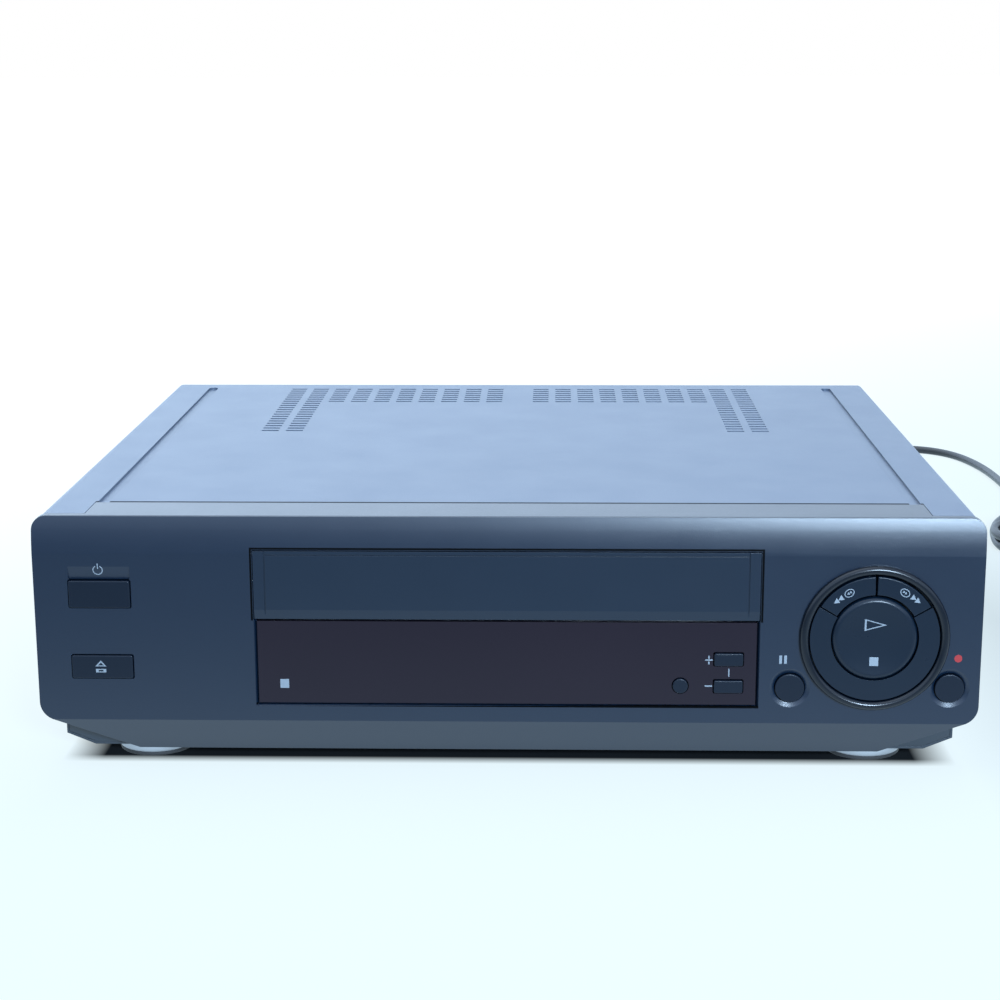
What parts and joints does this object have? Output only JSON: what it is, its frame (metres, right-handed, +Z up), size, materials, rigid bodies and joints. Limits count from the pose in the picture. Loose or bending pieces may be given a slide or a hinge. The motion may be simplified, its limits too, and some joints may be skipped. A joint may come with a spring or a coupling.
{
  "type": "video cassette recorder",
  "caption": "Front-loading video cassette recorder with a hinged cassette door, smoked display window, round control cluster, tape deck, rear sockets and mains lead.",
  "frame": {"origin": "on the floor, under the middle of the machine without its mains lead", "axes": "front faces -Y, +X is the right side seen from the front, +Z up"},
  "size_m": [0.589, 0.6595, 0.107],
  "materials": {
    "front_plastic": "fine satin grain, dark slate",
    "door_plastic": "satin",
    "cover_paint": "fine textured dark grey paint",
    "rear_paint": "matt black paint",
    "smoked_window": "smoked dark reddish brown, glossy",
    "ring_gloss": "glossy dark slate",
    "key_plastic": "satin",
    "foot_silver": "metallic silver grey",
    "black_rubber": "matt",
    "circuit_board": "green solder mask",
    "black_plastic": "matt",
    "white_plastic": "natural moulded plastic",
    "tube_glass": "clear over a dark anode plate",
    "plated_steel": "zinc plated",
    "steel": "polished",
    "drum_aluminium": "turned",
    "cord_rubber": "semi-matt dark vinyl"
  },
  "bodies": {
    "machine": {"antenna_sockets": "steel", "board_components": "black_plastic", "bottom_chassis": "plated_steel", "capstan_stator": "circuit_board", "control_ring": "ring_gloss", "control_surround": "key_plastic", "cord_coil": "cord_rubber", "deck_plate": "plated_steel", "display_tube": "tube_glass", "display_window": "smoked_window", "front_board": "circuit_board", "front_feet": "foot_silver", "front_panel": "front_plastic", "heat_sink": "drum_aluminium", "loader_frame": "plated_steel", "loading_motor": "steel", "lower_drum": "drum_aluminium", "main_board": "circuit_board", "phono_sockets": "black_plastic", "plug": "cord_rubber", "power_board": "circuit_board", "power_cord": "cord_rubber", "rear_panel": "rear_paint", "ribbon_cables": "white_plastic", "rubber_feet": "black_rubber", "screws": "steel", "shield_cans": "plated_steel", "strain_relief": "black_rubber", "tact_switches": "black_plastic", "tape_heads": "steel", "top_cover": "cover_paint", "transformer": "black_plastic", "tuner_box": "plated_steel"},
    "cassette_door": {"cassette_door": "door_plastic"},
    "power_button": {"power_button": "key_plastic"},
    "eject_button": {"eject_button": "key_plastic"},
    "rewind_button": {"rewind_button": "key_plastic"},
    "forward_button": {"forward_button": "key_plastic"},
    "play_stop_rocker": {"play_stop_rocker": "key_plastic"},
    "pause_button": {"pause_button": "key_plastic"},
    "record_button": {"record_button": "key_plastic"},
    "setup_button": {"setup_button": "key_plastic"},
    "channel_up_button": {"channel_up_button": "key_plastic"},
    "channel_down_button": {"channel_down_button": "key_plastic"},
    "carriage": {"carriage_slider": "white_plastic"},
    "holder": {"cassette_holder": "plated_steel"},
    "loader_pinion": {"loader_pinion": "white_plastic"},
    "upper_drum": {"upper_drum": "drum_aluminium"},
    "capstan": {"capstan": "steel"},
    "pinch_arm": {"pinch_arm": "plated_steel"},
    "pinch_roller": {"pinch_roller": "black_rubber"},
    "supply_reel": {"supply_reel_table": "black_plastic"},
    "takeup_reel": {"takeup_reel_table": "black_plastic"},
    "tension_arm": {"tension_arm": "plated_steel"},
    "supply_guide": {"supply_guide": "steel"},
    "takeup_guide": {"takeup_guide": "steel"},
    "mode_cam": {"mode_cam": "white_plastic"},
    "motor_pinion": {"motor_pinion": "white_plastic"}
  },
  "joints": [
    {"name": "door_hinge", "type": "hinge", "parent": "machine", "child": "cassette_door", "pos_m": [0, -0.16045, 0.092], "axis": [-1, 0, 0], "range_deg": [-88, 0], "stiffness_Nm_per_rad": 0.01},
    {"name": "power_press", "type": "slide", "parent": "machine", "child": "power_button", "axis": [0, 1, 0], "range_m": [0, 0.001], "stiffness_N_per_m": 400},
    {"name": "eject_press", "type": "slide", "parent": "machine", "child": "eject_button", "axis": [0, 1, 0], "range_m": [0, 0.001], "stiffness_N_per_m": 400},
    {"name": "rewind_press", "type": "slide", "parent": "machine", "child": "rewind_button", "axis": [0, 1, 0], "range_m": [0, 0.001], "stiffness_N_per_m": 400},
    {"name": "forward_press", "type": "slide", "parent": "machine", "child": "forward_button", "axis": [0, 1, 0], "range_m": [0, 0.001], "stiffness_N_per_m": 400},
    {"name": "pause_press", "type": "slide", "parent": "machine", "child": "pause_button", "axis": [0, 1, 0], "range_m": [0, 0.001], "stiffness_N_per_m": 400},
    {"name": "record_press", "type": "slide", "parent": "machine", "child": "record_button", "axis": [0, 1, 0], "range_m": [0, 0.001], "stiffness_N_per_m": 400},
    {"name": "setup_press", "type": "slide", "parent": "machine", "child": "setup_button", "axis": [0, 1, 0], "range_m": [0, 0.001], "stiffness_N_per_m": 400},
    {"name": "channel_up_press", "type": "slide", "parent": "machine", "child": "channel_up_button", "axis": [0, 1, 0], "range_m": [0, 0.001], "stiffness_N_per_m": 400},
    {"name": "channel_down_press", "type": "slide", "parent": "machine", "child": "channel_down_button", "axis": [0, 1, 0], "range_m": [0, 0.001], "stiffness_N_per_m": 400},
    {"name": "play_stop_tilt", "type": "hinge", "parent": "machine", "child": "play_stop_rocker", "pos_m": [0.1491, -0.15705, 0.0578], "axis": [1, 0, 0], "range_deg": [-2.5, 2.5], "stiffness_Nm_per_rad": 0.5},
    {"name": "carriage_slide", "type": "slide", "parent": "machine", "child": "carriage", "axis": [0, 1, 0], "range_m": [0, 0.078]},
    {"name": "holder_lower", "type": "slide", "parent": "carriage", "child": "holder", "axis": [0, 0, -1], "range_m": [0, 0.024]},
    {"name": "loader_pinion_turn", "type": "hinge", "parent": "machine", "child": "loader_pinion", "pos_m": [0.0963, -0.04065, 0.041], "axis": [-1, 0, 0], "range_deg": [0, 560]},
    {"name": "drum_spin", "type": "hinge", "parent": "machine", "child": "upper_drum", "pos_m": [0, 0.08135, 0.03], "axis": [0, 0.0872, 0.9962], "continuous": true},
    {"name": "capstan_spin", "type": "hinge", "parent": "machine", "child": "capstan", "pos_m": [0.052, 0.06435, 0.024], "axis": [0, 0, 1], "continuous": true},
    {"name": "pinch_arm_swing", "type": "hinge", "parent": "machine", "child": "pinch_arm", "pos_m": [0.082, 0.07035, 0.04], "axis": [0, 0, -1], "range_deg": [0, 20]},
    {"name": "pinch_roller_spin", "type": "hinge", "parent": "pinch_arm", "child": "pinch_roller", "pos_m": [0.06453, 0.05569, 0.055], "axis": [0, 0, 1], "continuous": true},
    {"name": "supply_reel_spin", "type": "hinge", "parent": "machine", "child": "supply_reel", "pos_m": [-0.046, -0.00165, 0.034], "axis": [0, 0, 1], "continuous": true},
    {"name": "takeup_reel_spin", "type": "hinge", "parent": "machine", "child": "takeup_reel", "pos_m": [0.046, -0.00165, 0.034], "axis": [0, 0, 1], "continuous": true},
    {"name": "tension_arm_swing", "type": "hinge", "parent": "machine", "child": "tension_arm", "pos_m": [-0.086, 0.06235, 0.036], "axis": [0, 0, 1], "range_deg": [0, 15]},
    {"name": "supply_guide_load", "type": "slide", "parent": "machine", "child": "supply_guide", "axis": [-0.3294, 0.9442, 0], "range_m": [0, 0.04554]},
    {"name": "takeup_guide_load", "type": "slide", "parent": "machine", "child": "takeup_guide", "axis": [0.3294, 0.9442, 0], "range_m": [0, 0.04564]},
    {"name": "mode_cam_turn", "type": "hinge", "parent": "machine", "child": "mode_cam", "pos_m": [-0.072, -0.07665, 0.032], "axis": [0, 0, 1], "range_deg": [0, 300]},
    {"name": "motor_pinion_turn", "type": "hinge", "parent": "machine", "child": "motor_pinion", "pos_m": [-0.0459, -0.07665, 0.032], "axis": [0, 0, -1], "range_deg": [0, 1001]}
  ],
  "couplings": [
    {"joint": "loader_pinion_turn", "follows": "carriage_slide", "rad_per_m": 125},
    {"joint": "takeup_guide_load", "follows": "supply_guide_load", "ratio": 1},
    {"joint": "motor_pinion_turn", "follows": "mode_cam_turn", "ratio": 3.3333}
  ]
}
